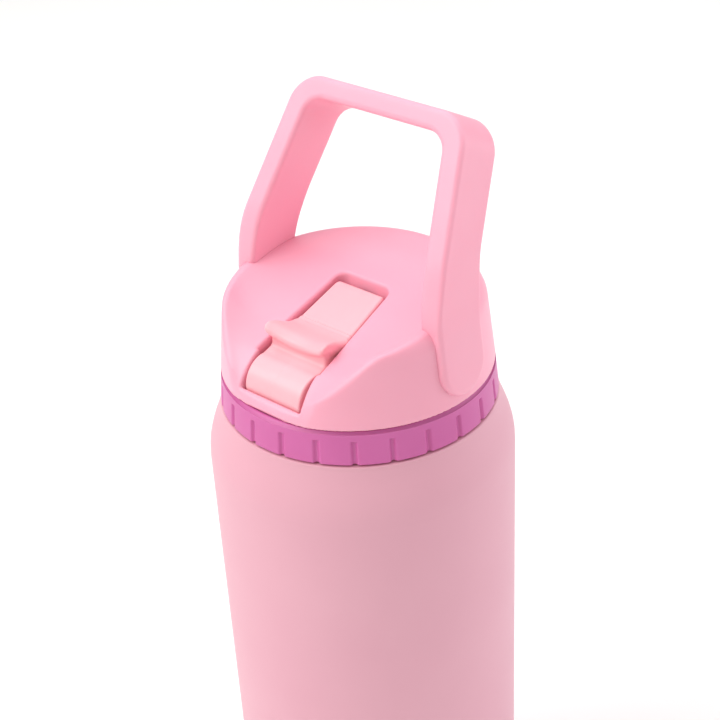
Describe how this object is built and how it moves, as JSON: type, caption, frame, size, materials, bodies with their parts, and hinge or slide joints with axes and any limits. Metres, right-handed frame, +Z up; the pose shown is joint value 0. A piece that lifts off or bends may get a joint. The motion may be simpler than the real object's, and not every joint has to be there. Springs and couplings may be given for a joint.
{
  "type": "protein shaker bottle",
  "caption": "Insulated steel shaker bottle with a screw lid, flip-up straw spout, grip collar and a carry handle that leans back.",
  "frame": {"origin": "centre of the base, on the surface it stands on", "axes": "+Z up along the bottle's axis, spout at the front towards -Y, hinge of the spout parallel to X"},
  "size_m": [0.092, 0.092, 0.2821],
  "materials": {
    "powder_coat": "matte pink powder coat with a very fine grain",
    "steel": "electropolished stainless steel",
    "lid_plastic": "satin moulded polypropylene",
    "collar_plastic": "satin moulded plastic, deeper magenta",
    "clear_grey_silicone": "soft translucent silicone",
    "soft_silicone": "soft satin silicone",
    "white_plastic": "natural moulded plastic",
    "pad_rubber": "soft matte rubber"
  },
  "bodies": {
    "bottle": {"outer_shell": "powder_coat", "inner_liner": "steel", "base_plate": "steel", "vacuum_getter": "steel", "base_pad": "pad_rubber"},
    "lid_gasket": {"lid_gasket": "clear_grey_silicone"},
    "vent_valve": {"vent_valve": "clear_grey_silicone"},
    "lid": {"lid_shell": "lid_plastic", "inner_cap": "white_plastic", "grip_collar": "collar_plastic", "carry_handle": "lid_plastic", "hinge_pins": "steel", "spout_seal": "clear_grey_silicone", "straw_port": "white_plastic", "port_ring": "clear_grey_silicone", "straw": "white_plastic", "mixer_grid": "white_plastic"},
    "spout": {"spout": "lid_plastic", "mouthpiece": "soft_silicone"}
  },
  "joints": [
    {"name": "lid_lift_off", "type": "slide", "parent": "bottle", "child": "lid_gasket", "axis": [0, 0, 1], "range_m": [0, 0.24]},
    {"name": "lid_thread_lift", "type": "slide", "parent": "lid_gasket", "child": "vent_valve", "axis": [0, 0, 1], "range_m": [0, 0.0076]},
    {"name": "lid_turn", "type": "hinge", "parent": "vent_valve", "child": "lid", "pos_m": [0, 0, 0.205], "axis": [0, 0, 1], "range_deg": [0, 540]},
    {"name": "spout_flip", "type": "hinge", "parent": "lid", "child": "spout", "pos_m": [0, -0.0284, 0.2088], "axis": [1, 0, 0], "range_deg": [0, 90]}
  ],
  "couplings": [
    {"joint": "lid_thread_lift", "follows": "lid_turn", "m_per_rad": 0.00079577}
  ]
}
